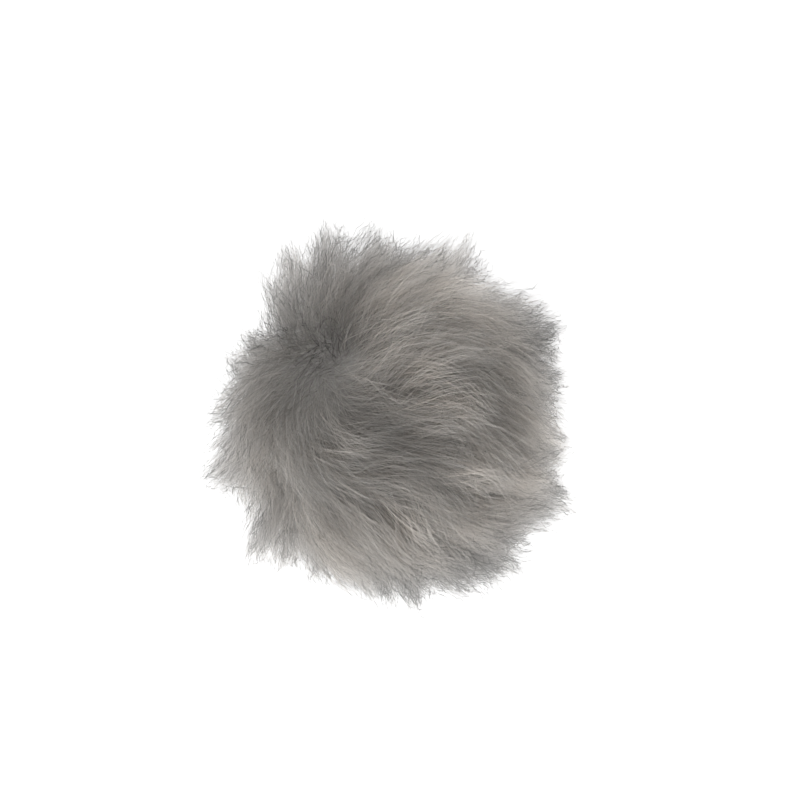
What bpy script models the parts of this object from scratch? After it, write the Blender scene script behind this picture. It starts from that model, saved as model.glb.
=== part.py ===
"""A round faux-fur pom pom, resting on a surface, as one solid.

The ball is the dense pile. Pointed locks of hair, with three or four sides, stand on it
and lean the way the pile is combed: away from a parting on the upper side, turning as
they go. The ball is pressed flat where it rests, and the locks near there are short and
lie level.

Metres, +Z up. Seen from above, +X is to the right and +Y is up. A point of the pile is
given by its direction from the ball's centre, as a unit vector, and a share of the pile's
depth there. Every point of every lock is carried along by the same comb, so neighbouring
locks lean together and stay apart but for their roots.
"""

import math
import random
from collections import namedtuple

import bmesh
import bpy
from mathutils import Quaternion, Vector

MM = 0.001

# The whole ball
REACH = 61.0 * MM  # from the centre to the tips, before the tufts and hollows
BALL_SHARE = 0.77  # of that reach is dense pile, and the locks stand on it
CENTRE_HEIGHT = 47.0 * MM
FLAT_SPOT_RADIUS = 18.0 * MM
FLOOR_SHARPNESS = 22  # a higher number bends the pile later, where it meets the floor

# The net of lock roots, on a ball of radius 1
SPIRAL_POINTS = 262  # over the whole ball, before the flat spot takes its share
GOLDEN_ANGLE = math.pi * (3 - math.sqrt(5))
ROOT_SHIFT = 0.065
FLAT_ANGLE = math.radians(20)  # from the middle of the underside to the flat spot's rim
FLAT_SIDES = 12
RING_MARGIN = 0.03  # the spiral ends this much above the flat spot
LEVEL = -0.9999  # a face whose normal is lower than this is the flat spot's
JOIN_ANGLE = math.radians(60)
SEED = 7

# One lock, from its root to its tip
LEAN = 19.0 * MM  # how far the tip lies past the root, along the ball
LOCK_ARC = math.radians(52)  # a lock rises straight and bends over by this much
SHORTEST_LOCK = 0.70  # of the full length
FLOW_STEPS = 4
Section = namedtuple("Section", "along width")  # shares of the length and the root's width
LOCK_SECTIONS = (
    Section(along=0.00, width=0.92),
    Section(along=0.34, width=0.66),
    Section(along=0.64, width=0.43),
    Section(along=0.85, width=0.22),
)

# Tufts that stand out of the ball, and hollows between them (a negative reach)
Tuft = namedtuple("Tuft", "azimuth elevation spread reach")
TUFTS = (
    Tuft(azimuth=115, elevation=8, spread=14, reach=7.5 * MM),
    Tuft(azimuth=70, elevation=4, spread=7, reach=3.5 * MM),
    Tuft(azimuth=34, elevation=6, spread=10, reach=4.5 * MM),
    Tuft(azimuth=2, elevation=0, spread=11, reach=-4.5 * MM),
    Tuft(azimuth=335, elevation=-4, spread=8, reach=3.0 * MM),
    Tuft(azimuth=306, elevation=0, spread=12, reach=4.0 * MM),
    Tuft(azimuth=272, elevation=6, spread=9, reach=1.0 * MM),
    Tuft(azimuth=248, elevation=0, spread=12, reach=-4.5 * MM),
    Tuft(azimuth=223, elevation=4, spread=8, reach=4.0 * MM),
    Tuft(azimuth=210, elevation=0, spread=6, reach=-7.0 * MM),
    Tuft(azimuth=198, elevation=-2, spread=6, reach=2.5 * MM),
    Tuft(azimuth=187, elevation=4, spread=5, reach=-2.0 * MM),
    Tuft(azimuth=145, elevation=2, spread=10, reach=-7.5 * MM),
    Tuft(azimuth=60, elevation=52, spread=20, reach=2.0 * MM),
    Tuft(azimuth=250, elevation=48, spread=18, reach=2.5 * MM),
    Tuft(azimuth=141, elevation=62, spread=14, reach=-2.5 * MM),
)

# Low waves over the ball, so that no stretch of it is a true sphere
Wave = namedtuple("Wave", "x y z phase height")
WAVES = (
    Wave(x=4.1, y=2.3, z=-3.2, phase=0.4, height=0.7 * MM),
    Wave(x=-2.6, y=5.2, z=4.4, phase=1.9, height=0.7 * MM),
    Wave(x=6.3, y=-4.8, z=5.7, phase=3.1, height=0.5 * MM),
)

# The comb: the pile leaves the parting, and turns from that where a row says
PARTING = Vector((-0.47, 0.40, 0.79)).normalized()
PARTING_SIZE = math.radians(16)  # the lean grows from nothing over this much
Turn = namedtuple("Turn", "right up spread degrees")
TURNS = (
    Turn(right=-19 * MM, up=-6 * MM, spread=20 * MM, degrees=52),
    Turn(right=4 * MM, up=-42 * MM, spread=18 * MM, degrees=24),
    Turn(right=46 * MM, up=-10 * MM, spread=18 * MM, degrees=18),
    Turn(right=22 * MM, up=30 * MM, spread=10 * MM, degrees=-20),
    Turn(right=-50 * MM, up=22 * MM, spread=8 * MM, degrees=-60),
    Turn(right=-54 * MM, up=-15 * MM, spread=9 * MM, degrees=-25),
    Turn(right=-42 * MM, up=-37 * MM, spread=9 * MM, degrees=-20),
)
SETTLE_START = 0.60  # the lean dies away below this height on the unit ball
SETTLE_END = -0.70
SETTLED_LEAN = -0.55  # near the floor the locks splay outwards and up instead
SMALLEST = 1e-6

FUR_COLOUR = (0.250, 0.237, 0.226, 1.0)
FUR_ROUGHNESS = 0.85


def direction(azimuth, elevation):
    """The unit vector at these angles, in degrees."""
    flat = math.cos(math.radians(elevation))
    return Vector((
        flat * math.cos(math.radians(azimuth)),
        flat * math.sin(math.radians(azimuth)),
        math.sin(math.radians(elevation)),
    ))


def direction_over(right, up):
    """The direction of the point of the ball that lies at this place, seen from above."""
    across = Vector((right, up)) / REACH
    if across.length > 1:
        across.normalize()
    return Vector((across.x, across.y, math.sqrt(max(0.0, 1 - across.length_squared))))


def bell(way, centre, spread):
    """1 at the centre, falling off as a bell curve with the angle between the two."""
    return math.exp(-0.5 * (way.angle(centre) / spread) ** 2)


def smooth(value, start, end):
    """0 at start and 1 at end, with level ends."""
    share = min(1.0, max(0.0, (value - start) / (end - start)))
    return share * share * (3 - 2 * share)


TUFT_CENTRES = [direction(tuft.azimuth, tuft.elevation) for tuft in TUFTS]
TURN_CENTRES = [direction_over(turn.right, turn.up) for turn in TURNS]


def free_reach(way):
    """How far the tips reach that way, where nothing presses on them."""
    reach = REACH
    for tuft, centre in zip(TUFTS, TUFT_CENTRES):
        reach += tuft.reach * bell(way, centre, math.radians(tuft.spread))
    for wave in WAVES:
        reach += wave.height * math.sin(way.dot(Vector((wave.x, wave.y, wave.z))) + wave.phase)
    return reach


def above_floor(reach, way):
    """The lesser of a reach and the distance to the floor, with a soft bend between."""
    if way.z >= 0:
        return reach
    floor = CENTRE_HEIGHT / -way.z
    power = FLOOR_SHARPNESS
    return (reach**-power + floor**-power) ** (-1 / power)


def pile_point(way, depth):
    """The point that way, at a share of the pile's depth: 0 on the ball, 1 at the tips."""
    tips = above_floor(free_reach(way), way)
    ball = above_floor(free_reach(way) * BALL_SHARE, way)
    return Vector((0, 0, CENTRE_HEIGHT)) + way * (ball + (tips - ball) * depth)


def comb(way):
    """Where the pile leans, as a tangent of length 1 or less."""
    away = way * PARTING.dot(way) - PARTING
    if away.length < SMALLEST:
        return Vector()
    settled = smooth(way.z, SETTLE_START, SETTLE_END)
    lean = math.tanh(way.angle(PARTING) / PARTING_SIZE) * (1 + (SETTLED_LEAN - 1) * settled)
    turn = 0
    for row, centre in zip(TURNS, TURN_CENTRES):
        turn += row.degrees * bell(way, centre, row.spread / REACH)
    turned = Quaternion(way, math.radians(turn)) @ away.normalized()
    down = (way * way.z - Vector((0, 0, 1))).normalized()
    return turned.lerp(down, settled) * lean


def combed(way, travel):
    """The direction reached from this one by going with the comb this far along the ball."""
    step = travel / REACH / FLOW_STEPS
    for _ in range(FLOW_STEPS):
        way = (way + comb(way) * step).normalized()
    return way


def lock_point(root, along):
    """The point of a lock over this root direction, at a share of its way to the tip."""
    bend = LOCK_ARC * along
    depth = math.sin(bend) / math.sin(LOCK_ARC)
    lean = (1 - math.cos(bend)) / (1 - math.cos(LOCK_ARC))
    return pile_point(combed(root, LEAN * lean), depth)


def spiral_points():
    """Even directions on a spiral down the ball to the flat spot, each shifted a little."""
    shifts = random.Random(SEED)
    lowest = -math.cos(FLAT_ANGLE)
    count = round(SPIRAL_POINTS * (1 - lowest) / 2)
    points = []
    for index in range(count):
        height = 1 - (1 - lowest) * (index + 0.5) / count
        flat = math.sqrt(1 - height * height)
        around = index * GOLDEN_ANGLE
        point = Vector((flat * math.cos(around), flat * math.sin(around), height))
        shift = Vector([shifts.uniform(-1, 1) for _ in range(3)]) * ROOT_SHIFT
        if height > lowest + RING_MARGIN:
            points.append((point + shift).normalized())
    return points


def ring_points():
    """The directions of the flat spot's rim."""
    flat = math.sin(FLAT_ANGLE)
    turns = [index * math.tau / FLAT_SIDES for index in range(FLAT_SIDES)]
    return [Vector((flat * math.cos(a), flat * math.sin(a), -math.cos(FLAT_ANGLE))) for a in turns]


def root_net():
    """A net of faces over the unit ball: one for the flat spot, and a root for each lock.

    Two triangles become a root with four sides where they make a good one together.
    """
    net = bmesh.new()
    net.faces.layers.float.new("length")
    for point in spiral_points() + ring_points():
        net.verts.new(point)
    bmesh.ops.convex_hull(net, input=net.verts)
    under = [face for face in net.faces if face.normal.z < LEVEL]
    bmesh.ops.dissolve_faces(net, faces=under)
    bmesh.ops.join_triangles(
        net,
        faces=[face for face in net.faces if face.normal.z >= LEVEL],
        angle_face_threshold=JOIN_ANGLE,
        angle_shape_threshold=JOIN_ANGLE,
    )
    return net


def grow_locks(net):
    """Draws each root out into a lock, section by section, and returns every point's place.

    The points stay on the unit ball meanwhile. So each new point still lies on a corner of
    its root, and the middle of a lock's last face is the middle of its root.
    """
    length_of = net.faces.layers.float["length"]
    lengths = random.Random(SEED + 1)
    tops = [face for face in net.faces if face.normal.z >= LEVEL]
    for root in tops:
        root[length_of] = lengths.uniform(SHORTEST_LOCK, 1)
    places = {point: pile_point(point.co.normalized(), 0) for point in net.verts}
    for section in LOCK_SECTIONS:
        tops = bmesh.ops.extrude_discrete_faces(net, faces=tops)["faces"]
        for top in tops:
            middle = top.calc_center_median()
            for point in top.verts:
                root = middle.lerp(point.co, section.width).normalized()
                places[point] = lock_point(root, section.along * top[length_of])
    for top in tops:
        length = top[length_of]
        tip = bmesh.ops.poke(net, faces=[top])["verts"][0]
        places[tip] = lock_point(tip.co.normalized(), length)
    return places


def press_flat(places, net):
    """Puts the rim of the flat spot, the face with the most sides, on the floor."""
    spot = max(net.faces, key=lambda face: len(face.verts))
    for point in spot.verts:
        flat = point.co.xy.normalized() * FLAT_SPOT_RADIUS
        places[point] = Vector((flat.x, flat.y, 0))


def fur_material():
    material = bpy.data.materials.new("grey_fur")
    material.use_nodes = True
    shader = material.node_tree.nodes["Principled BSDF"]
    shader.inputs["Base Color"].default_value = FUR_COLOUR
    shader.inputs["Roughness"].default_value = FUR_ROUGHNESS
    shader.inputs["Metallic"].default_value = 0
    return material


def fur_ball():
    """The whole pom pom, with the origin on the floor under the middle of its bounding box."""
    net = root_net()
    places = grow_locks(net)
    press_flat(places, net)
    for point, place in places.items():
        point.co = place
    xs = [point.co.x for point in net.verts]
    ys = [point.co.y for point in net.verts]
    middle = Vector(((min(xs) + max(xs)) / 2, (min(ys) + max(ys)) / 2, 0))
    bmesh.ops.translate(net, verts=net.verts, vec=-middle)
    bmesh.ops.triangulate(net, faces=[f for f in net.faces if len(f.verts) > 3])
    bmesh.ops.recalc_face_normals(net, faces=net.faces)
    mesh = bpy.data.meshes.new("fur_ball")
    net.to_mesh(mesh)
    net.free()
    mesh.materials.append(fur_material())
    return bpy.data.objects.new("fur_ball", mesh)


def main():
    for item in list(bpy.data.objects):
        bpy.data.objects.remove(item, do_unlink=True)
    parts = bpy.data.collections.new("pom_pom")
    bpy.context.scene.collection.children.link(parts)
    parts.objects.link(fur_ball())


main()
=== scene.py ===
# %% [markdown]
# # A pom pom of long-pile faux fur
# The real one is a single disc of fur cloth, gathered and drawn shut round a ball of soft
# stuffing. All that shows is hair: a dense, silky, warm-grey pile some 30 mm long, brushed
# by handling into locks that leave a messy parting on the upper side and sweep over one
# another. Its own weight presses a small flat spot where it rests.
#
# Hair could be a texture on a lumpy ball, but that looks painted at the rim. Blender's hair
# system would grow it too, but other programs can't read it. So every hair here is a real,
# closed, three-sided tube with a fine tip, and numpy works out many thousands at a time.
#
# First the script loads the fixed frame, which holds the solid that the fur stands for.

# %% Load the frame
import math
from collections import namedtuple

import bpy
import numpy as np
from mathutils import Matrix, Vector


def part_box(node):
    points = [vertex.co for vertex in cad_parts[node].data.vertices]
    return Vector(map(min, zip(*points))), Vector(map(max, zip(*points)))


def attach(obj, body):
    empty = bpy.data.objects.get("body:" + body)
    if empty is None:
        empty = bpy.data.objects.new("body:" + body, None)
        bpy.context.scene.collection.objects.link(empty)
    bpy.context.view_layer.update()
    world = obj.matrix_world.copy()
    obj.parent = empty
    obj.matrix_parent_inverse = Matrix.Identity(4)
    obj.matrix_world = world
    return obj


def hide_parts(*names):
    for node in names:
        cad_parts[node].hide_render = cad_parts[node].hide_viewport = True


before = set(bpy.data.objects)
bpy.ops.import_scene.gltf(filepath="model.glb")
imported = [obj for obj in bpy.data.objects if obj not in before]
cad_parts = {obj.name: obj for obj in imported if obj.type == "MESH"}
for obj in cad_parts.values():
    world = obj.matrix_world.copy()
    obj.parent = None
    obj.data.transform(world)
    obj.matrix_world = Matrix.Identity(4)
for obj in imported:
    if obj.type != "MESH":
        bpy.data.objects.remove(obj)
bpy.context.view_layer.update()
low, high = (np.array(corner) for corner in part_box("fur_ball"))
MM = 0.001
print("the solid fur ball, mm:", np.round((high - low) / MM, 1))

# %% [markdown]
# ## The ball that the tips make
# A handled pom pom is never a true ball. The tips reach about 62 mm from its centre, with
# tufts that stand out and hollows between them, and low waves all over. One could sculpt
# that, but a sum of soft bumps is easier to change: each row below is one bump, placed by
# its direction from the centre, in degrees. BUMPS are the broad ones, and POINTS the narrow
# tufts and notches round the rim. Hair gathers into each tuft.
#
# A point of the pile is given by a direction, as a unit vector, and a distance from the
# centre. Near the surface that it rests on, the distance bends over to stay above it.

# %% Sizes
REACH = 61.9 * MM
CENTRE = np.array([1.84, -2.24, 47.0]) * MM
FLOOR_SHARPNESS = 22
POINT_LIFT = math.radians(15)
Bump = namedtuple("Bump", "azimuth elevation spread reach")
BUMPS = (
    Bump(azimuth=115, elevation=8, spread=14, reach=7.5 * MM),
    Bump(azimuth=70, elevation=4, spread=7, reach=3.5 * MM),
    Bump(azimuth=52, elevation=12, spread=6, reach=1.6 * MM),
    Bump(azimuth=34, elevation=6, spread=10, reach=4.2 * MM),
    Bump(azimuth=2, elevation=0, spread=11, reach=-4.0 * MM),
    Bump(azimuth=335, elevation=-4, spread=8, reach=3.0 * MM),
    Bump(azimuth=306, elevation=0, spread=12, reach=4.0 * MM),
    Bump(azimuth=272, elevation=6, spread=9, reach=1.0 * MM),
    Bump(azimuth=249, elevation=0, spread=11, reach=-4.2 * MM),
    Bump(azimuth=223, elevation=4, spread=8, reach=4.0 * MM),
    Bump(azimuth=210, elevation=0, spread=6, reach=-7.0 * MM),
    Bump(azimuth=198, elevation=-2, spread=6, reach=4.0 * MM),
    Bump(azimuth=185, elevation=4, spread=9, reach=1.5 * MM),
    Bump(azimuth=146, elevation=2, spread=10, reach=-5.5 * MM),
    Bump(azimuth=60, elevation=52, spread=20, reach=2.0 * MM),
    Bump(azimuth=250, elevation=48, spread=18, reach=2.5 * MM),
)
POINTS = (
    Bump(azimuth=17, elevation=2, spread=3.0, reach=0.6 * MM),
    Bump(azimuth=20, elevation=-2, spread=3.0, reach=-4.0 * MM),
    Bump(azimuth=29, elevation=6, spread=3.2, reach=1.6 * MM),
    Bump(azimuth=37, elevation=4, spread=3.0, reach=1.2 * MM),
    Bump(azimuth=44, elevation=4, spread=2.6, reach=1.6 * MM),
    Bump(azimuth=66.5, elevation=5, spread=2.6, reach=4.0 * MM),
    Bump(azimuth=73, elevation=4, spread=2.6, reach=1.8 * MM),
    Bump(azimuth=94, elevation=3, spread=3.0, reach=1.2 * MM),
    Bump(azimuth=102, elevation=3, spread=2.2, reach=-0.8 * MM),
    Bump(azimuth=109, elevation=6, spread=2.6, reach=4.4 * MM),
    Bump(azimuth=121, elevation=4, spread=3.6, reach=2.8 * MM),
    Bump(azimuth=131, elevation=7, spread=3.0, reach=4.2 * MM),
    Bump(azimuth=145, elevation=0, spread=3.6, reach=-1.6 * MM),
    Bump(azimuth=149, elevation=5, spread=2.6, reach=3.0 * MM),
    Bump(azimuth=158, elevation=2, spread=2.6, reach=2.4 * MM),
    Bump(azimuth=177, elevation=4, spread=3.6, reach=4.2 * MM),
    Bump(azimuth=186, elevation=0, spread=3.0, reach=2.4 * MM),
    Bump(azimuth=196.5, elevation=4, spread=4.4, reach=6.0 * MM),
    Bump(azimuth=211, elevation=0, spread=4.6, reach=-6.0 * MM),
    Bump(azimuth=223.5, elevation=5, spread=2.8, reach=5.6 * MM),
    Bump(azimuth=231.5, elevation=2, spread=2.2, reach=2.0 * MM),
    Bump(azimuth=244, elevation=5, spread=2.4, reach=1.0 * MM),
    Bump(azimuth=267, elevation=3, spread=3.4, reach=1.4 * MM),
    Bump(azimuth=278, elevation=6, spread=2.6, reach=3.8 * MM),
    Bump(azimuth=294, elevation=4, spread=3.4, reach=2.2 * MM),
    Bump(azimuth=301, elevation=4, spread=2.6, reach=1.0 * MM),
    Bump(azimuth=309, elevation=6, spread=3.0, reach=1.2 * MM),
    Bump(azimuth=320, elevation=3, spread=3.0, reach=-0.6 * MM),
    Bump(azimuth=332, elevation=5, spread=3.4, reach=4.8 * MM),
    Bump(azimuth=337, elevation=4, spread=2.4, reach=2.2 * MM),
    Bump(azimuth=352, elevation=5, spread=3.2, reach=3.4 * MM),
)
Wave = namedtuple("Wave", "x y z phase height")
WAVES = (
    Wave(x=4.1, y=2.3, z=-3.2, phase=0.4, height=0.7 * MM),
    Wave(x=-2.6, y=5.2, z=4.4, phase=1.9, height=0.7 * MM),
    Wave(x=6.3, y=-4.8, z=5.7, phase=3.1, height=0.5 * MM),
)
print("bumps:", len(BUMPS), "points:", len(POINTS), "waves:", len(WAVES))

# %% Directions
TINY = 1e-9
UP = np.array([0.0, 0.0, 1.0])


def unit(vectors):
    """Each vector over its own length."""
    return vectors / np.maximum(np.linalg.norm(vectors, axis=-1, keepdims=True), TINY)


def direction(azimuth, elevation):
    """The unit vector at these angles in degrees: east is +X, and up is +Z."""
    turn, lift = math.radians(azimuth), math.radians(elevation)
    return np.array([math.cos(lift) * math.cos(turn), math.cos(lift) * math.sin(turn), math.sin(lift)])


def dots(a, b):
    """The dot product of each pair of vectors, kept as a last axis of length 1."""
    return np.sum(a * b, axis=-1, keepdims=True)


def bell(ways, centre, spread):
    """A bell curve of the angle to the centre: e to the power of minus half its square, in spreads."""
    angle = np.arccos(np.clip(dots(ways, centre), -1, 1))
    return np.exp(-0.5 * (angle / spread) ** 2)


def ridge(ways, point, width=1.0):
    """A bell curve of the azimuth from the point's, times one of the elevation, which is much wider."""
    ahead, side = direction(point.azimuth, 0), direction(point.azimuth + 90, 0)
    turn = np.arctan2(dots(ways, side), dots(ways, ahead)) / math.radians(point.spread * width)
    lift = (np.arcsin(np.clip(ways[..., 2:], -1, 1)) - math.radians(point.elevation)) / POINT_LIFT
    return np.exp(-0.5 * (turn**2 + lift**2))


def smooth(value, start, end):
    """0 at start, 1 at end, and between them 3 s squared less 2 s cubed, with s the share."""
    share = np.clip((value - start) / (end - start), 0, 1)
    return share * share * (3 - 2 * share)


# %% The parting
PARTING_START = unit(np.array([-0.79, 0.57, 0.27]))
PARTING_END = unit(np.array([-0.40, 0.52, 0.75]))
PARTING_DEPTH, PARTING_WIDTH = 4.5 * MM, math.radians(6)


def on_parting(ways):
    """The nearest direction on the parting: its start plus a share, 0 to 1, of the way to its end."""
    line = PARTING_END - PARTING_START
    share = np.clip(dots(ways - PARTING_START, line) / (line @ line), 0, 1)
    return unit(PARTING_START + share * line)


parting_angle = math.degrees(math.acos(PARTING_START @ PARTING_END))
print("length of the parting, degrees:", round(parting_angle, 1))

# %% How far the tips reach
LEAST_FALL = 1e-3
RIM_STEP = 15


def free_reach(ways):
    """The reach, less the parting, plus each bump and point times its bell curves, plus waves as sines."""
    reach = np.full(ways.shape[:-1] + (1,), REACH)
    for bump in BUMPS:
        centre = direction(bump.azimuth, bump.elevation)
        reach += bump.reach * bell(ways, centre, math.radians(bump.spread))
    for point in POINTS:
        reach += point.reach * ridge(ways, point)
    reach -= PARTING_DEPTH * bell(ways, on_parting(ways), PARTING_WIDTH)
    for wave in WAVES:
        reach += wave.height * np.sin(dots(ways, np.array([wave.x, wave.y, wave.z])) + wave.phase)
    return reach


def above_floor(reach, ways):
    """The lesser of a reach and the distance to the floor, joined softly as a power mean."""
    fall = np.maximum(-ways[..., 2:], LEAST_FALL)
    floor = CENTRE[2] / fall
    mean = (reach**-FLOOR_SHARPNESS + floor**-FLOOR_SHARPNESS) ** (-1 / FLOOR_SHARPNESS)
    return np.where(ways[..., 2:] < 0, mean, reach)


rim = free_reach(np.stack([direction(azimuth, 0) for azimuth in range(0, 360, RIM_STEP)])) / MM
print("reach round the rim, mm:", round(rim.min(), 1), "to", round(rim.max(), 1))

# %% [markdown]
# ## The comb
# Brushed pile lies as if fingers had stroked it, and between two strokes the hair turns
# smoothly from one to the other. Combing guide hairs in Blender's sculpt mode gives that,
# but a table can be read and changed. Each row is one stroke: where it lies, seen from
# above with the ball's middle at 0, and which way it goes, in degrees from the right
# towards the top. A stroke counts most where it lies and dies away as a bell curve. Beside
# the parting a pull away from it is added, so that the hair leaves it on both sides. At the
# rim the hair stands up and hardly leans sideways. Lower down the strokes give way to an
# even upward lean, which splays the hair out over the surface that the ball rests on.

# %% Strokes
Stroke = namedtuple("Stroke", "right up degrees")
STROKES = (
    Stroke(right=-40 * MM, up=46 * MM, degrees=108),
    Stroke(right=-30 * MM, up=54 * MM, degrees=92),
    Stroke(right=-20 * MM, up=58 * MM, degrees=80),
    Stroke(right=-4 * MM, up=48 * MM, degrees=40),
    Stroke(right=16 * MM, up=57 * MM, degrees=40),
    Stroke(right=-28 * MM, up=45 * MM, degrees=40),
    Stroke(right=38 * MM, up=38 * MM, degrees=5),
    Stroke(right=54 * MM, up=26 * MM, degrees=5),
    Stroke(right=22 * MM, up=30 * MM, degrees=0),
    Stroke(right=-20 * MM, up=38 * MM, degrees=55),
    Stroke(right=-32 * MM, up=30 * MM, degrees=40),
    Stroke(right=-15 * MM, up=31 * MM, degrees=75),
    Stroke(right=-6 * MM, up=22 * MM, degrees=15),
    Stroke(right=4 * MM, up=18 * MM, degrees=10),
    Stroke(right=-27 * MM, up=13 * MM, degrees=-86),
    Stroke(right=-21 * MM, up=9 * MM, degrees=-76),
    Stroke(right=-15 * MM, up=14 * MM, degrees=5),
    Stroke(right=-6 * MM, up=-1 * MM, degrees=-4),
    Stroke(right=-16 * MM, up=-5 * MM, degrees=-4),
    Stroke(right=8 * MM, up=2 * MM, degrees=4),
    Stroke(right=-50 * MM, up=29 * MM, degrees=118),
    Stroke(right=-55 * MM, up=17 * MM, degrees=155),
    Stroke(right=-45 * MM, up=19 * MM, degrees=-140),
    Stroke(right=-42 * MM, up=10 * MM, degrees=-125),
    Stroke(right=-52 * MM, up=-6 * MM, degrees=-100),
    Stroke(right=-52 * MM, up=-16 * MM, degrees=-112),
    Stroke(right=-25 * MM, up=-4 * MM, degrees=-38),
    Stroke(right=-25 * MM, up=-12 * MM, degrees=-32),
    Stroke(right=17 * MM, up=13 * MM, degrees=-8),
    Stroke(right=28 * MM, up=7 * MM, degrees=-30),
    Stroke(right=35 * MM, up=0 * MM, degrees=-36),
    Stroke(right=18 * MM, up=-9 * MM, degrees=-6),
    Stroke(right=34 * MM, up=-14 * MM, degrees=-20),
    Stroke(right=50 * MM, up=-16 * MM, degrees=-8),
    Stroke(right=-2 * MM, up=-14 * MM, degrees=2),
    Stroke(right=46 * MM, up=-26 * MM, degrees=-4),
    Stroke(right=-31 * MM, up=-20 * MM, degrees=-48),
    Stroke(right=-42 * MM, up=-35 * MM, degrees=-118),
    Stroke(right=-16 * MM, up=-29 * MM, degrees=-42),
    Stroke(right=14 * MM, up=-30 * MM, degrees=-38),
    Stroke(right=-22 * MM, up=-42 * MM, degrees=-45),
    Stroke(right=-8 * MM, up=-38 * MM, degrees=-48),
    Stroke(right=8 * MM, up=-42 * MM, degrees=-38),
    Stroke(right=24 * MM, up=-38 * MM, degrees=-32),
    Stroke(right=42 * MM, up=-34 * MM, degrees=-16),
    Stroke(right=-14 * MM, up=-52 * MM, degrees=-45),
    Stroke(right=16 * MM, up=-54 * MM, degrees=-32),
    Stroke(right=34 * MM, up=-48 * MM, degrees=-24),
)
print("strokes:", len(STROKES))

# %% The comb
STROKE_SPREAD = 7.5 * MM
LYING_SHARE = 0.92
AWAY_SHARE, AWAY_NEAR, AWAY_SPREAD = 0.10, 1.2, 6.0 * MM
STEADY = 0.10
SETTLE_START, SETTLE_END, SETTLED_LEAN = 0.62, -0.65, -0.55
SIDE_LOSS, SIDE_BAND = 0.75, 0.30


def direction_over(right, up):
    """The direction whose point of the lying hair is there, seen from above."""
    across = np.array([right, up]) / (REACH * LYING_SHARE)
    across /= max(1.0, np.linalg.norm(across))
    return np.append(across, math.sqrt(max(0.0, 1 - across @ across)))


def along_surface(vectors, ways):
    """What is left of a vector once its part along the direction is taken off, as a unit vector."""
    return unit(vectors - ways * dots(ways, vectors))


def comb(ways):
    """The lean at each direction, a tangent of length 1 or less: a sum of strokes, settled lower down.

    Each stroke counts by its bell curve, and the pull away from the parting by its own. The sum's
    length goes through a hyperbolic tangent. Its part down the ball changes to the settled lean,
    and its sideways part is less near the rim.
    """
    nearest_parting = on_parting(ways)
    near = AWAY_NEAR * bell(ways, nearest_parting, AWAY_SPREAD / REACH)
    pull = (AWAY_SHARE + near) * along_surface(-nearest_parting, ways)
    for stroke in STROKES:
        angle = math.radians(stroke.degrees)
        drawn = along_surface(np.array([math.cos(angle), math.sin(angle), 0.0]), ways)
        place = direction_over(stroke.right, stroke.up)
        pull = pull + drawn * bell(ways, place, STROKE_SPREAD / REACH)
    strength = np.linalg.norm(pull, axis=-1, keepdims=True)
    swept = unit(pull) * np.tanh(strength / STEADY)
    settled = smooth(ways[..., 2:], SETTLE_START, SETTLE_END)
    down = along_surface(-UP, ways)
    aside = swept - down * dots(swept, down)
    downward = dots(swept, down) * (1 - settled) + SETTLED_LEAN * settled
    upright = SIDE_LOSS * np.exp(-0.5 * (ways[..., 2:] / SIDE_BAND) ** 2)
    return down * downward + aside * (1 - upright)


print("lean at the top of the ball:", np.round(comb(UP[None])[0], 2))


# %% Turning
def turned(tangents, ways, angle):
    """Tangents turned about their directions: cosine times itself plus sine times its cross product."""
    return tangents * np.cos(angle) + np.cross(ways, tangents) * np.sin(angle)


# %% [markdown]
# ## Locks, strands and hairs
# Fur isn't even. Some hundreds of locks, each about a centimetre wide, lie over one another.
# A lock is made of tufts half as wide, which come to soft points, a tuft of strands, and a
# strand of a few single hairs held together by their own curl. So the fur is drawn in steps.
# A lock has a guide path. A tuft starts from its own root and is drawn towards its lock's
# path, and a strand towards its tuft's. A hair keeps beside its strand and closes in on it
# at the tip.
#
# A path rises steeply from the ball and bends over, as hair does when it is stroked flat.
# Round the parting the strands lie every way, as they do where two strokes meet.

# %% Path of one hair
ARC = math.radians(60)
LEAN = 27.0 * MM
BALL_SHARE = 0.70
TANGLE, TANGLE_SPREAD = 0.9, 8.0 * MM
TANGLE_HOLD = 0.35


def rise(along):
    """The share of the pile's depth at a share of the hair: sine of that much of the arc, over the arc's."""
    return np.sin(ARC * along) / math.sin(ARC)


def travel(along):
    """The share of the lean there: 1 less the cosine, over the same for the whole arc."""
    return (1 - np.cos(ARC * along)) / (1 - math.cos(ARC))


def lean_over(roots, along, lean, turn, drift=0.0):
    """Directions along each path: each step adds the comb, turned, plus a drift, times the lean it covers."""
    ways = [roots]
    for step in np.diff(travel(along)):
        last = ways[-1]
        pull = turned(comb(last), last, turn) + drift
        ways.append(unit(last + pull * step * LEAN * lean / REACH))
    return np.stack(ways, axis=1)


print("halfway along, a hair has risen", round(rise(0.5), 2), "and leant", round(travel(0.5), 2))

# %% Even roots over the ball
GOLDEN_ANGLE = math.pi * (3 - math.sqrt(5))
LOWEST_ROOT = -0.93


def scattered_roots(count, rng, shift):
    """Points on a spiral down the ball, each turned by the golden angle, and moved a little at random."""
    index = np.arange(count)
    height = 1 - (1 - LOWEST_ROOT) * (index + 0.5) / count
    flat = np.sqrt(1 - height**2)
    turn = index * GOLDEN_ANGLE
    spiral = np.stack([flat * np.cos(turn), flat * np.sin(turn), height], axis=1)
    return unit(spiral + rng.normal(0, shift, (count, 3)) / math.sqrt(count))


# %% Locks and tufts
Bundle = namedtuple("Bundle", "roots turn lean reach tone")
LONG_STEPS = np.array([0.0, 0.24, 0.44, 0.62, 0.80, 1.0])
BUNDLE_SHIFT = 0.9


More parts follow.
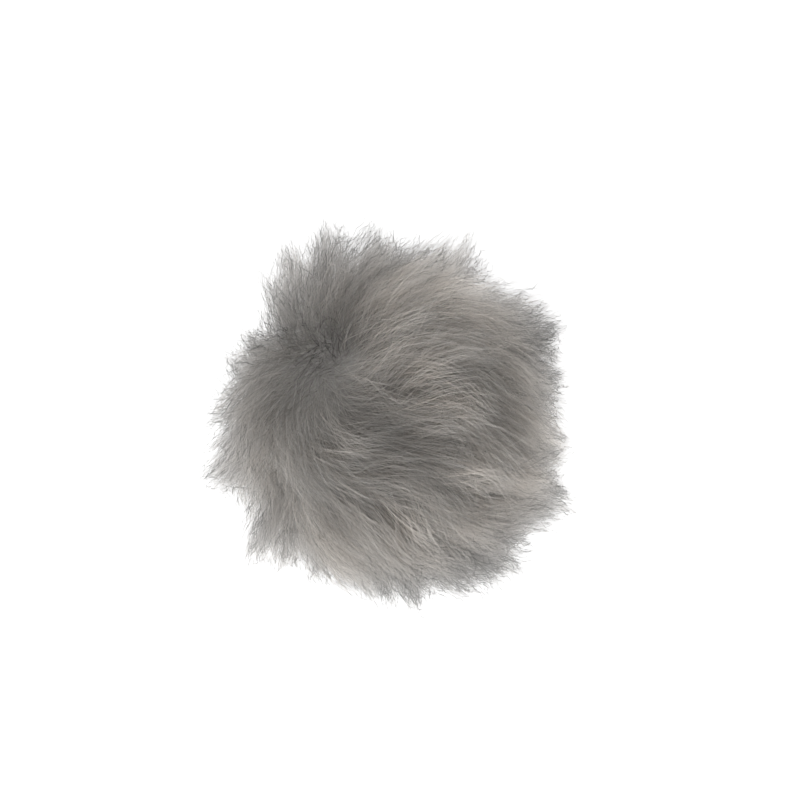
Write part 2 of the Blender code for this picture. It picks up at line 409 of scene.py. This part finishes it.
def bundles(count, rng, turn, lean, shortest, longest):
    """Roots of locks or tufts, each with its own turn, share of the lean, share of the reach, and tone."""
    return Bundle(
        roots=scattered_roots(count, rng, BUNDLE_SHIFT),
        turn=rng.normal(0, turn, (count, 1)),
        lean=rng.uniform(1 - lean, 1 + lean, (count, 1)),
        reach=rng.uniform(shortest, longest, (count, 1)),
        tone=rng.normal(0, 1, count),
    )


def nearest(roots, bundle):
    """The index of the bundle whose root makes the smallest angle with each root."""
    return np.argmax(roots @ bundle.roots.T, axis=1)


# %% Draw the locks and tufts
LOCKS, TUFTS = 430, 1700
BUNDLE_SEED = 11
rng = np.random.default_rng(BUNDLE_SEED)
locks = bundles(LOCKS, rng, turn=math.radians(14), lean=0.20, shortest=0.93, longest=1.02)
tufts = bundles(TUFTS, rng, turn=math.radians(14), lean=0.20, shortest=0.96, longest=1.02)
tuft_lock = nearest(tufts.roots, locks)
print("tufts in a lock, at least and at most:", np.bincount(tuft_lock).min(), np.bincount(tuft_lock).max())

# %% Paths of tufts
LOCK_CLUMP = 0.34
POINT_CLUMP, POINT_WIDTH = 0.80, 1.6


def drawn_towards(ways, guides, clump, along):
    """Each way plus its difference from its guide, times the clump times the square of how far along."""
    return unit(ways + (guides - ways) * (clump * along**2)[..., None])


def gathered(ways, along):
    """Each way, less a share of its part across each outward point: the point's ridge at the tip."""
    for point in POINTS:
        if point.reach > 0:
            side = direction(point.azimuth + 90, 0)
            share = POINT_CLUMP * ridge(ways[:, -1], point, POINT_WIDTH) * along**2
            ways = unit(ways - side * dots(ways, side) * share[..., None])
    return ways


def tuft_paths(along):
    """Directions along every tuft's path, drawn towards its lock's path."""
    lock_ways = lean_over(locks.roots, along, locks.lean, locks.turn)
    turn = locks.turn[tuft_lock] + tufts.turn
    lean = locks.lean[tuft_lock] * tufts.lean
    ways = lean_over(tufts.roots, along, lean, turn)
    return drawn_towards(ways, lock_ways[tuft_lock], LOCK_CLUMP, along)


# %% Strands
Fur = namedtuple(
    "Fur",
    "strands each wander clump shortest longest thickness root_spread tip_spread wave curls",
)
STRAND_SHIFT = 0.8
LEAN_RANGE, CLUMP_RANGE = (0.85, 1.15), (0.6, 1.3)


def strand_paths(fur, rng, along):
    """Paths of strands, (count, steps, 3) in metres, and the tuft of each."""
    roots = scattered_roots(fur.strands, rng, STRAND_SHIFT)
    tuft = nearest(roots, tufts)
    lock = tuft_lock[tuft]
    turn = locks.turn[lock] + tufts.turn[tuft] + rng.normal(0, fur.wander, (fur.strands, 1))
    lean = locks.lean[lock] * tufts.lean[tuft] * rng.uniform(*LEAN_RANGE, (fur.strands, 1))
    tangled = bell(roots, on_parting(roots), TANGLE_SPREAD / REACH)
    turn = turn + tangled * rng.uniform(-math.pi, math.pi, (fur.strands, 1))
    drift = TANGLE * tangled * along_surface(rng.normal(0, 1, (fur.strands, 3)), roots)
    held = 1 - TANGLE_HOLD * tangled
    ways = lean_over(roots, along, lean * held, turn, drift)
    clump = fur.clump * held * rng.uniform(*CLUMP_RANGE, (fur.strands, 1))
    ways = gathered(drawn_towards(ways, tuft_paths(along)[tuft], clump, along), along)
    share = rng.uniform(fur.shortest, fur.longest, (fur.strands, 1))
    tip = locks.reach[lock] * tufts.reach[tuft] * share
    ball = free_reach(ways) * BALL_SHARE
    tips = free_reach(ways) * tip[:, None]
    out = ball + (tips - ball) * rise(along)[None, :, None]
    return CENTRE + ways * above_floor(out, ways), tuft


# %% Hairs
LOWEST_HAIR = 0.3 * MM
CURL_RANGE = (0.6, 1.4)


def hairs_beside(paths, fur, rng, along):
    """Hairs round their strands: the path, plus an offset that closes in, plus a sine wave across it."""
    paths = np.repeat(paths, fur.each, axis=0)
    count = len(paths)
    ahead = unit(np.gradient(paths, axis=1))
    across = unit(np.cross(ahead, rng.normal(0, 1, (count, 1, 3))))
    other = np.cross(ahead, across)
    spread = fur.root_spread + (fur.tip_spread - fur.root_spread) * along[None, :, None]
    offset = rng.normal(0, 1, (count, 1, 1)) * across + rng.normal(0, 1, (count, 1, 1)) * other
    phase = rng.uniform(0, math.tau, (count, 1, 1))
    turns = fur.curls * rng.uniform(*CURL_RANGE, (count, 1, 1))
    swing = np.sin(math.tau * turns * along[None, :, None] + phase) - np.sin(phase)
    paths = paths + offset * spread + across * swing * fur.wave * along[None, :, None]
    paths[..., 2] = np.maximum(paths[..., 2], LOWEST_HAIR)
    return paths


# %% [markdown]
# ## Hair as mesh
# A hair is a tube with three sides, the fewest that make a closed one. Curve objects with a
# bevel would look the same, but thousands of them are slow, so numpy sweeps every hair's
# triangle at once: a ring of three points at each step of the path, then one point at the
# tip. All hairs of a piece share one table of faces, moved up by the points of the hairs
# before. Each hair also gets its own narrow cell of a texture map, for anyone who bakes it.

# %% Sweep
SIDES = 3


def sweep(paths, thickness):
    """Points of all hairs: at each step, path plus radius times the cosine and sine of three even turns."""
    ahead = unit(np.gradient(paths, axis=1))
    chord = unit(paths[:, -1:] - paths[:, :1])
    helper = np.eye(3)[np.argmin(np.abs(chord[:, 0]), axis=1)][:, None, :]
    across = unit(np.cross(ahead, helper))
    other = np.cross(ahead, across)
    turns = np.arange(SIDES) * math.tau / SIDES
    ring = across[:, :, None] * np.cos(turns)[:, None] + other[:, :, None] * np.sin(turns)[:, None]
    rings = paths[:, :-1, None] + ring[:, :-1] * thickness[:, :, None, None] / 2
    count = len(paths)
    return np.concatenate([rings.reshape(count, -1, 3), paths[:, -1:]], axis=1)


def hair_faces(rings):
    """One hair's faces as corner indices: quads up each side, then a root triangle and three at the tip."""
    ring, side = np.meshgrid(np.arange(rings - 1), np.arange(SIDES), indexing="ij")
    a = (ring * SIDES + side).ravel()
    b = (ring * SIDES + (side + 1) % SIDES).ravel()
    quads = np.stack([a, b, b + SIDES, a + SIDES], axis=1)
    last = (rings - 1) * SIDES
    side = np.arange(SIDES)
    tips = np.stack([last + side, last + (side + 1) % SIDES, np.full(SIDES, rings * SIDES)], axis=1)
    return quads, np.concatenate([tips, [[2, 1, 0]]])


# %% Cells of the texture map
CELL_SLIMNESS, CELL_MARGIN = 6, 0.15


def cell_map(count, rings):
    """Each hair's corners in its own cell: across it by side, and along it by ring, in face order."""
    columns = math.ceil(math.sqrt(count * CELL_SLIMNESS))
    rows = math.ceil(count / columns)
    cell = np.arange(count)
    corner = np.stack([cell % columns / columns, cell // columns / rows], axis=1)
    grid = np.meshgrid(np.arange(rings - 1), np.arange(SIDES), indexing="ij")
    ring, side = (numbers.ravel() for numbers in grid)
    quads = np.array([[side, ring], [side + 1, ring], [side + 1, ring + 1], [side, ring + 1]])
    side = np.arange(SIDES)
    top = np.full(SIDES, rings - 1)
    tips = np.array([[side, top], [side + 1, top], [side + 0.5, top + 1]])
    root = np.array([[0, 0], [0.5, 0], [0, 0.1]], float)
    quads = quads.transpose(2, 0, 1).reshape(-1, 2)
    tips = tips.transpose(2, 0, 1).reshape(-1, 2)
    places = np.concatenate([quads, tips, root]) / [SIDES, rings]
    inside = CELL_MARGIN + places * (1 - 2 * CELL_MARGIN)
    return (corner[:, None] + inside[None] / [columns, rows]).reshape(-1, 2)


# %% Build one piece
THICKNESS_CURVE = ([0.0, 0.5, 0.75, 0.9, 1.0], [0.8, 1.0, 1.0, 0.9, 0.5])


def put_value(mesh, name, values):
    """Stores one number on each point, for the material to read."""
    layer = mesh.attributes.new(name, "FLOAT", "POINT")
    layer.data.foreach_set("value", values.astype(np.float32))


def hair_piece(name, paths, thickness, along, tone, rim_light_warmth, material):
    """One object of many hairs, with values on its points: how far along, its tone, and its warmth, which is
    greyer under the painted cool light at the rim.
    """
    count, steps = paths.shape[:2]
    rings = steps - 1
    points = sweep(paths, thickness * np.interp(along[:-1], *THICKNESS_CURVE))
    quads, triangles = hair_faces(rings)
    per_hair = rings * SIDES + 1
    starts = np.arange(count)[:, None] * per_hair
    corners = np.concatenate([quads.ravel(), triangles.ravel()])
    sizes = np.tile(np.concatenate([np.full(len(quads), 4), np.full(len(triangles), 3)]), count)
    mesh = bpy.data.meshes.new(name)
    mesh.vertices.add(count * per_hair)
    mesh.vertices.foreach_set("co", points.astype(np.float32).ravel())
    mesh.loops.add(count * len(corners))
    mesh.loops.foreach_set("vertex_index", (starts + corners).ravel().astype(np.int32))
    mesh.polygons.add(len(sizes))
    mesh.polygons.foreach_set("loop_start", (np.cumsum(sizes) - sizes).astype(np.int32))
    mesh.polygons.foreach_set("use_smooth", np.ones(len(sizes), bool))
    cells = mesh.uv_layers.new(name="OFBake")
    cells.data.foreach_set("uv", cell_map(count, rings).astype(np.float32).ravel())
    share = np.append(np.repeat(along[:-1], SIDES), 1.0)
    put_value(mesh, "along", np.tile(share, count))
    put_value(mesh, "tone", np.repeat(tone, per_hair))
    put_value(mesh, "rim_light_warmth", np.repeat(rim_light_warmth, per_hair))
    mesh.update()
    mesh.materials.append(material)
    piece = bpy.data.objects.new(name, mesh)
    bpy.context.scene.collection.objects.link(piece)
    mesh.calc_loop_triangles()
    print(f"{name}: {count} hairs, {len(mesh.loop_triangles)} triangles")
    return piece


# %% [markdown]
# ## The fibre's finish
# The fibre is a fine acrylic: matt and a little silky, darkest at the root, palest at three quarters of its
# length and a little darker again at the tip. The dark at the root is partly painted shade, for the depth of
# the pile between the hairs. No two hairs are quite alike: each brings its own tone, which makes it paler or
# darker, and its own warmth, which is how much of the brown in the grey it keeps. Part of each tone is
# painted light and shade, and the warmth is a painted cast of cool light, greyer towards the rim. Light goes
# through such thin fibre as well as off it, so most of the finish is a Translucent BSDF, and the fur glows at
# its rim.

# %% Fibre material
Band = namedtuple("Band", "along colour")
# The dark at the root is partly painted shade, for the depth of the pile.
BANDS = (
    Band(along=0.10, colour=(0.43, 0.412, 0.393, 1)),
    Band(along=0.50, colour=(0.655, 0.629, 0.60, 1)),
    Band(along=0.75, colour=(0.695, 0.672, 0.646, 1)),
    Band(along=1.00, colour=(0.655, 0.645, 0.63, 1)),
)
TONE_STEP = 0.04
THROUGH_SHARE = 0.7


def fibre_material():
    """A ramp by how far along the hair, times 1 plus tone steps, on a matt and a see-through coat."""
    material = bpy.data.materials.new("grey_fibre")
    material.use_nodes = True
    tree = material.node_tree
    shader = tree.nodes["Principled BSDF"]
    shader.inputs["Roughness"].default_value = 0.6
    shader.inputs["Specular IOR Level"].default_value = 0.2
    shader.inputs["Sheen Weight"].default_value = 0.2
    shader.inputs["Sheen Roughness"].default_value = 0.5
    along = tree.nodes.new("ShaderNodeAttribute")
    along.attribute_name = "along"
    tone = tree.nodes.new("ShaderNodeAttribute")
    tone.attribute_name = "tone"
    ramp = tree.nodes.new("ShaderNodeValToRGB")
    ramp.color_ramp.elements.remove(ramp.color_ramp.elements[1])
    for number, band in enumerate(BANDS):
        stop = ramp.color_ramp.elements.new(band.along) if number else ramp.color_ramp.elements[0]
        stop.position = band.along
        stop.color = band.colour
    tree.links.new(along.outputs["Fac"], ramp.inputs["Fac"])
    bright = tree.nodes.new("ShaderNodeMath")
    bright.operation = "MULTIPLY_ADD"
    bright.inputs[1].default_value = TONE_STEP
    bright.inputs[2].default_value = 1.0
    tree.links.new(tone.outputs["Fac"], bright.inputs[0])
    rim_light_warmth = tree.nodes.new("ShaderNodeAttribute")
    rim_light_warmth.attribute_name = "rim_light_warmth"
    scaled = tree.nodes.new("ShaderNodeHueSaturation")
    tree.links.new(rim_light_warmth.outputs["Fac"], scaled.inputs["Saturation"])
    tree.links.new(ramp.outputs["Color"], scaled.inputs["Color"])
    tree.links.new(bright.outputs["Value"], scaled.inputs["Value"])
    tree.links.new(scaled.outputs["Color"], shader.inputs["Base Color"])
    through = tree.nodes.new("ShaderNodeBsdfTranslucent")
    tree.links.new(scaled.outputs["Color"], through.inputs["Color"])
    mixed = tree.nodes.new("ShaderNodeMixShader")
    mixed.inputs["Fac"].default_value = THROUGH_SHARE
    tree.links.new(shader.outputs["BSDF"], mixed.inputs[1])
    tree.links.new(through.outputs["BSDF"], mixed.inputs[2])
    tree.links.new(mixed.outputs["Shader"], tree.nodes["Material Output"].inputs["Surface"])
    return material


fibre = fibre_material()
print("material:", fibre.name)

# %% [markdown]
# ## The dense ball under the hair
# Deep in the pile no single hair shows, so the innermost layer is one closed surface: the fur-covered ball of
# stuffing. Its dark grey is painted shade of the deep pile. It is a grid of heights and turns, closed at both
# poles.

# %% Under ball
BALL_ROWS, BALL_COLUMNS = 60, 96
BALL_RAISE, FOOT_RAISE = 0.02, 0.10
FOOT_START, FOOT_END = -0.7, -1.0


def grid_point(row, column):
    """The index of a point of the ball: the top pole is 0, and the rows follow it."""
    return 1 + row * BALL_COLUMNS + column


def under_ball(material):
    """Directions at even heights and turns, at the ball's share of the reach, more near the flat spot."""
    lift = np.linspace(math.pi / 2, -math.pi / 2, BALL_ROWS)[1:-1]
    turn = np.arange(BALL_COLUMNS) * math.tau / BALL_COLUMNS
    lift, turn = np.meshgrid(lift, turn, indexing="ij")
    ways = np.stack([np.cos(lift) * np.cos(turn), np.cos(lift) * np.sin(turn), np.sin(lift)], axis=-1)
    ways = np.concatenate([[[0, 0, 1.0]], ways.reshape(-1, 3), [[0, 0, -1.0]]])
    share = BALL_SHARE + BALL_RAISE + FOOT_RAISE * smooth(ways[..., 2:], FOOT_START, FOOT_END)
    points = CENTRE + ways * above_floor(free_reach(ways) * share, ways)
    rows = BALL_ROWS - 2
    grid = np.meshgrid(np.arange(rows - 1), np.arange(BALL_COLUMNS), indexing="ij")
    row, column = (numbers.ravel() for numbers in grid)
    beside = (column + 1) % BALL_COLUMNS
    corners = [(row, column), (row + 1, column), (row + 1, beside), (row, beside)]
    quads = np.stack([grid_point(r, c) for r, c in corners], axis=1)
    column = np.arange(BALL_COLUMNS)
    beside = (column + 1) % BALL_COLUMNS
    top = np.stack([np.zeros_like(column), grid_point(0, column), grid_point(0, beside)], axis=1)
    pole = np.full_like(column, len(points) - 1)
    bottom = np.stack([pole, grid_point(rows - 1, beside), grid_point(rows - 1, column)], axis=1)
    mesh = bpy.data.meshes.new("under_ball")
    mesh.from_pydata(points.tolist(), [], quads.tolist() + top.tolist() + bottom.tolist())
    mesh.shade_smooth()
    mesh.materials.append(material)
    ball = bpy.data.objects.new("under_ball", mesh)
    bpy.context.scene.collection.objects.link(ball)
    mesh.calc_loop_triangles()
    print(f"under_ball: {len(mesh.loop_triangles)} triangles")
    return ball


# %% Material of the pile
# Both greys are dark as painted shade: the pile deep under the hair lies in shadow.
PILE_SHADE_DARK, PILE_SHADE_PALE = (0.22, 0.211, 0.20, 1), (0.36, 0.345, 0.33, 1)


def deep_pile_shade_material():
    """A fine noise between two dark greys, as the ends of cut pile, dark as painted shade of the deep pile.
    """
    material = bpy.data.materials.new("painted_pile_shade")
    material.use_nodes = True
    tree = material.node_tree
    shader = tree.nodes["Principled BSDF"]
    shader.inputs["Roughness"].default_value = 0.9
    place = tree.nodes.new("ShaderNodeTexCoord")
    noise = tree.nodes.new("ShaderNodeTexNoise")
    noise.inputs["Scale"].default_value = 900
    ramp = tree.nodes.new("ShaderNodeValToRGB")
    ramp.color_ramp.elements[0].color = PILE_SHADE_DARK
    ramp.color_ramp.elements[1].color = PILE_SHADE_PALE
    tree.links.new(place.outputs["Object"], noise.inputs["Vector"])
    tree.links.new(noise.outputs["Fac"], ramp.inputs["Fac"])
    tree.links.new(ramp.outputs["Color"], shader.inputs["Base Color"])
    return material


# %% The ball in its place
ball = under_ball(deep_pile_shade_material())
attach(ball, "root")
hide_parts("fur_ball")

# %% [markdown]
# ## The fur, layer by layer
# Thick under-fur fills the depth, long silky hair lies over it, and curled ends and strays stand out of it.
# The ends are painted dark as shade, most at the rim and round the parting. They are separate pieces, so that
# each stays a size that other programs can read. All of them ride on the part's one body and stand for its
# one solid.
# The start of most paths is left out, because the fur above hides it.
#
# Real fur is mottled, and paint can't follow a crossing hair, so the shade is given to whole hairs, as a tone
# by where the hair ends. It adds up from parts. Each lock and tuft has its own, and streaks run along the lie
# of the hair: these are the fibre's own mottling. The parting is painted dark, as shade in the open pile, and
# the rim is painted a little paler, as light. Each row of LIGHT_AND_SHADE_PATCHES paints a soft patch: a
# darker one is painted shade, and a paler one is painted light. The rows were placed one by one and then
# adjusted against the light and shade of the photo.

# %% Patches of painted light and shade
LightShadePatch = namedtuple("LightShadePatch", "right up spread tone")
# Each row paints light or shade into the hair's tone: below zero is painted shade, above zero is painted
# light.
LIGHT_AND_SHADE_PATCHES = (
    LightShadePatch(right=-22 * MM, up=35 * MM, spread=9 * MM, tone=-5.0),
    LightShadePatch(right=-24 * MM, up=18 * MM, spread=11 * MM, tone=-9.0),
    LightShadePatch(right=-46 * MM, up=22 * MM, spread=10 * MM, tone=-2.0),
    LightShadePatch(right=-50 * MM, up=18 * MM, spread=6 * MM, tone=3.0),
    LightShadePatch(right=-36 * MM, up=6 * MM, spread=10 * MM, tone=-8.0),
    LightShadePatch(right=-15 * MM, up=-5 * MM, spread=6 * MM, tone=4.0),
    LightShadePatch(right=-4 * MM, up=-1 * MM, spread=6 * MM, tone=-5.0),
    LightShadePatch(right=8 * MM, up=-4 * MM, spread=9 * MM, tone=-4.0),
    LightShadePatch(right=-7 * MM, up=27 * MM, spread=8 * MM, tone=3.0),
    LightShadePatch(right=7 * MM, up=28 * MM, spread=6 * MM, tone=4.0),
    LightShadePatch(right=-26 * MM, up=50 * MM, spread=9 * MM, tone=3.0),
    LightShadePatch(right=-37 * MM, up=35 * MM, spread=8 * MM, tone=4.0),
    LightShadePatch(right=-44 * MM, up=42 * MM, spread=11 * MM, tone=7.0),
    LightShadePatch(right=2 * MM, up=38 * MM, spread=12 * MM, tone=2.0),
    LightShadePatch(right=-5 * MM, up=50 * MM, spread=8 * MM, tone=5.0),
    LightShadePatch(right=27 * MM, up=47 * MM, spread=13 * MM, tone=12.0),
    LightShadePatch(right=11 * MM, up=16 * MM, spread=9 * MM, tone=5.0),
    LightShadePatch(right=21 * MM, up=7 * MM, spread=8 * MM, tone=8.0),
    LightShadePatch(right=27 * MM, up=17 * MM, spread=5 * MM, tone=-5.0),
    LightShadePatch(right=38 * MM, up=22 * MM, spread=7 * MM, tone=2.5),
    LightShadePatch(right=47 * MM, up=26 * MM, spread=4 * MM, tone=-7.0),
    LightShadePatch(right=34 * MM, up=-2 * MM, spread=18 * MM, tone=1.5),
    LightShadePatch(right=38 * MM, up=-6 * MM, spread=8 * MM, tone=-3.0),
    LightShadePatch(right=17 * MM, up=-14 * MM, spread=6 * MM, tone=-4.0),
    LightShadePatch(right=28 * MM, up=-14 * MM, spread=6 * MM, tone=8.0),
    LightShadePatch(right=40 * MM, up=-17 * MM, spread=11 * MM, tone=2.5),
    LightShadePatch(right=53 * MM, up=-6 * MM, spread=12 * MM, tone=9.0),
    LightShadePatch(right=60 * MM, up=-6 * MM, spread=11 * MM, tone=4.0),
    LightShadePatch(right=48 * MM, up=28 * MM, spread=7 * MM, tone=-2.0),
    LightShadePatch(right=50 * MM, up=18 * MM, spread=7 * MM, tone=4.0),
    LightShadePatch(right=4 * MM, up=-33 * MM, spread=6 * MM, tone=12.0),
    LightShadePatch(right=-22 * MM, up=-25 * MM, spread=10 * MM, tone=-3.0),
    LightShadePatch(right=-26 * MM, up=-34 * MM, spread=7 * MM, tone=4.0),
    LightShadePatch(right=-50 * MM, up=-24 * MM, spread=7 * MM, tone=4.0),
    LightShadePatch(right=-60 * MM, up=-12 * MM, spread=9 * MM, tone=4.0),
    LightShadePatch(right=-48 * MM, up=-18 * MM, spread=9 * MM, tone=5.0),
    LightShadePatch(right=-37 * MM, up=-44 * MM, spread=7 * MM, tone=6.0),
    LightShadePatch(right=-42 * MM, up=-46 * MM, spread=11 * MM, tone=5.0),
    LightShadePatch(right=-11 * MM, up=-49 * MM, spread=11 * MM, tone=4.5),
    LightShadePatch(right=17 * MM, up=-42 * MM, spread=7 * MM, tone=5.0),
    LightShadePatch(right=34 * MM, up=-33 * MM, spread=8 * MM, tone=4.5),
    LightShadePatch(right=44 * MM, up=-40 * MM, spread=10 * MM, tone=3.0),
)
print("patches:", len(LIGHT_AND_SHADE_PATCHES))

# %% Tone of a hair
# The parting's dark tone is painted shade, where the pile lies open.
PAINTED_PARTING_SHADE, PARTING_SHADE, PARTING_RANGE = -8.0, math.radians(10), (0, 2)
PARTING_LOW, PARTING_HIGH = 0.05, 0.40
STREAK_WAVES, STREAK_TURNS, STREAK_TONE = 16, 60, 3.0
STREAK_SHARES = np.linspace(0.62, 1.0, 10)
STREAK_SEED = 31
# The rim's paler tone is painted light.
PAINTED_RIM_LIGHT, RIM_START, RIM_END = 1.2, 0.75, 0.35


def rim_share(ways):
    """0 on top and 1 from the rim down."""
    return smooth(ways[:, 2], RIM_START, RIM_END)


def at_shares(paths, along, shares):
    """The point of each path at each share of it, on the straight line between the steps beside it."""
    after = np.clip(np.searchsorted(along, shares), 1, len(along) - 1)
    part = ((shares - along[after - 1]) / (along[after] - along[after - 1]))[:, None]
    return paths[:, after - 1] * (1 - part) + paths[:, after] * part


def streak_tone(paths, along):
    """Streaks along the lie: many sines of the direction, averaged over each path's outer part.

    The sum is scaled by its own standard deviation.
    """
    rng = np.random.default_rng(STREAK_SEED)
    waves = unit(rng.normal(0, 1, (STREAK_WAVES, 3))) * STREAK_TURNS
    ways = unit(at_shares(paths, along, STREAK_SHARES) - CENTRE)
    mixed = np.sin(ways @ waves.T + rng.uniform(0, math.tau, STREAK_WAVES)).mean(axis=1).sum(axis=1)
    return STREAK_TONE * mixed / mixed.std()


def painted_light_and_shade_tone(ways, rng):
    """The painted shade of the parting and the painted light and shade of each patch, times their bell
    curves, plus the rim's painted light.

    The parting's is drawn at random for each strand, from none to double.
    """
    near = bell(ways, on_parting(ways), PARTING_SHADE)[:, 0]
    tone = PAINTED_PARTING_SHADE * near * rng.uniform(*PARTING_RANGE, len(ways))
    tone = tone * smooth(ways[:, 2], PARTING_LOW, PARTING_HIGH) + PAINTED_RIM_LIGHT * rim_share(ways)
    for patch in LIGHT_AND_SHADE_PATCHES:
        place = direction_over(patch.right, patch.up)
        tone += patch.tone * bell(ways, place, patch.spread / REACH)[:, 0]
    return tone


# %% Grow a piece
TOP_SHARE, PARTING_SHARE = 0.55, 0.5
LOCK_TONE, TUFT_TONE, STRAND_TONE = 0.5, 0.7, 0.2
# The warmth falls towards the rim as a painted cast of cool light.
PAINTED_RIM_WARMTH, WARM_START, WARM_END = 0.4, 0.6, 0.2
THICKNESS_RANGE = (0.7, 1.2)


def end_strength(ways):
    """The share of their painted shade and of their thickness that curled ends take: all at the rim, some on
    top.

    The parting has more of it than the rest of the top.
    """
    near_parting = PARTING_SHARE * bell(ways, on_parting(ways), PARTING_SHADE)[:, 0]
    return TOP_SHARE + (1 - TOP_SHARE) * np.maximum(rim_share(ways), near_parting)


def grow(name, fur, seed, along=LONG_STEPS, buried=0, tone=0.0, tone_spread=0.3, faint_top=False):
    """Strands, hairs and mesh of one piece, without the first buried steps of each path."""
    rng = np.random.default_rng(seed)
    paths, tuft = strand_paths(fur, rng, along)
    strand_tone = LOCK_TONE * locks.tone[tuft_lock[tuft]] + TUFT_TONE * tufts.tone[tuft]
    strand_tone += rng.normal(0, STRAND_TONE, fur.strands)
    ways = unit(paths[:, -2] - CENTRE)
    strength = end_strength(ways) if faint_top else np.ones(len(ways))
    # The patches, the parting and the rim add painted light and shade to the tone, and tone, given only to
    # the curled ends, adds their painted shade.
    strand_tone += painted_light_and_shade_tone(ways, rng) + streak_tone(paths, along) + tone * strength
    hairs = hairs_beside(paths, fur, rng, along)
    tones = np.repeat(strand_tone, fur.each) + rng.normal(0, tone_spread, len(hairs))
    # Greyer towards the rim: a painted cast of cool light.
    rim_light_warmth = np.repeat(1 - (1 - PAINTED_RIM_WARMTH) * smooth(ways[:, 2], WARM_START, WARM_END), fur.each)
    thickness = fur.thickness * rng.uniform(*THICKNESS_RANGE, (len(hairs), 1))
    thickness *= np.repeat(strength, fur.each)[:, None]
    piece = hair_piece(name, hairs[:, buried:], thickness, along[buried:], tones, rim_light_warmth, fibre)
    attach(piece, "root")
    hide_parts("fur_ball")


# %% Under-fur
UNDER_FUR = Fur(
    strands=4260, each=2, wander=0.22, clump=0.44, shortest=0.82, longest=0.95,
    thickness=0.135 * MM, root_spread=1.6 * MM, tip_spread=1.2 * MM, wave=0.35 * MM, curls=1.2,
)
grow("under_fur_1", UNDER_FUR, seed=21, buried=1)
grow("under_fur_2", UNDER_FUR, seed=22, buried=1)

# %% Long silky hair
LONG_FUR = Fur(
    strands=4260, each=2, wander=0.24, clump=0.54, shortest=0.90, longest=1.01,
    thickness=0.08 * MM, root_spread=1.6 * MM, tip_spread=1.1 * MM, wave=0.32 * MM, curls=1.3,
)
grow("long_fur_1", LONG_FUR, seed=23, buried=1)
grow("long_fur_2", LONG_FUR, seed=24, buried=1)

# %% Curled ends painted dark as shade, and strays
END_STEPS = np.array([0.0, 0.24, 0.44, 0.62, 0.74, 0.81, 0.88, 0.94, 1.0])
HAIR_ENDS = Fur(
    strands=8600, each=1, wander=0.62, clump=0.30, shortest=0.90, longest=1.00,
    thickness=0.125 * MM, root_spread=1.2 * MM, tip_spread=1.2 * MM, wave=0.95 * MM, curls=4.2,
)
STRAYS = Fur(
    strands=650, each=2, wander=0.60, clump=0.10, shortest=0.94, longest=1.03,
    thickness=0.095 * MM, root_spread=0.6 * MM, tip_spread=0.3 * MM, wave=1.4 * MM, curls=1.3,
)
# The curled ends' dark tone is painted shade: fine ends look dark against the bright floor at the rim and in
# the open parting.
grow("hair_ends", HAIR_ENDS, seed=25, along=END_STEPS, buried=4, tone=-14.0, tone_spread=4.0, faint_top=True)
grow("strays", STRAYS, seed=26, tone_spread=2.5)

# %% [markdown]
# ## Light, floor and camera
# The photo is lit from all round by soft, low light, which leaves the ball's middle darkest
# and its rim palest. The world gives that: bright near the horizon and dim overhead. One
# soft box adds a little from the near side. The floor is pale enough to read as white.

# %% Floor
FLOOR_HALF = 3.0
corners = [(-FLOOR_HALF, -FLOOR_HALF, 0), (FLOOR_HALF, -FLOOR_HALF, 0)]
corners += [(FLOOR_HALF, FLOOR_HALF, 0), (-FLOOR_HALF, FLOOR_HALF, 0)]
floor_mesh = bpy.data.meshes.new("floor")
floor_mesh.from_pydata(corners, [], [(0, 1, 2, 3)])
floor = bpy.data.objects.new("floor", floor_mesh)
bpy.context.scene.collection.objects.link(floor)
floor_material = bpy.data.materials.new("white_floor")
floor_material.use_nodes = True
floor_shader = floor_material.node_tree.nodes["Principled BSDF"]
floor_shader.inputs["Base Color"].default_value = (0.85, 0.85, 0.85, 1)
floor_shader.inputs["Roughness"].default_value = 0.9
floor_shader.inputs["Emission Color"].default_value = (1, 1, 1, 1)
floor_shader.inputs["Emission Strength"].default_value = 0.55
floor_mesh.materials.append(floor_material)

# %% World
HORIZON, OVERHEAD = (3.0, 3.0, 3.0, 1), (0.4, 0.4, 0.4, 1)
FADE_START, FADE_END = 0.15, 0.60
world = bpy.data.worlds.new("studio")
bpy.context.scene.world = world
world.use_nodes = True
backdrop = world.node_tree.nodes["Background"]
backdrop.inputs["Strength"].default_value = 1.0
sky = world.node_tree.nodes.new("ShaderNodeTexCoord")
parts = world.node_tree.nodes.new("ShaderNodeSeparateXYZ")
fade = world.node_tree.nodes.new("ShaderNodeValToRGB")
fade.color_ramp.elements[0].color = HORIZON
fade.color_ramp.elements[1].color = OVERHEAD
fade.color_ramp.elements[0].position = FADE_START
fade.color_ramp.elements[1].position = FADE_END
world.node_tree.links.new(sky.outputs["Generated"], parts.inputs["Vector"])
world.node_tree.links.new(parts.outputs["Z"], fade.inputs["Fac"])
world.node_tree.links.new(fade.outputs["Color"], backdrop.inputs["Color"])

# %% Soft box
BOX_PLACE = np.array([-0.25, -0.85, 0.45])
soft_light = bpy.data.lights.new("soft_box", "AREA")
soft_light.size = 0.9
soft_light.energy = 6
soft_box = bpy.data.objects.new("soft_box", soft_light)
bpy.context.scene.collection.objects.link(soft_box)
soft_box.location = BOX_PLACE
soft_box.rotation_euler = Vector(CENTRE - BOX_PLACE).to_track_quat("-Z", "Y").to_euler()

# %% Camera
PIXEL = 0.33 * MM
PIXELS = 800
LENS, SENSOR = 90, 36
PHOTO_MIDDLE = (11.5, 16.5)
distance = PIXEL * PIXELS * LENS / SENSOR
camera_data = bpy.data.cameras.new("camera")
camera_data.lens = LENS
camera_data.sensor_width = SENSOR
camera = bpy.data.objects.new("camera", camera_data)
bpy.context.scene.collection.objects.link(camera)
camera.location = (PHOTO_MIDDLE[0] * PIXEL, PHOTO_MIDDLE[1] * PIXEL, CENTRE[2] + distance)
bpy.context.scene.camera = camera
bpy.context.scene.view_settings.view_transform = "Standard"
print("camera height, m:", round(distance, 3))
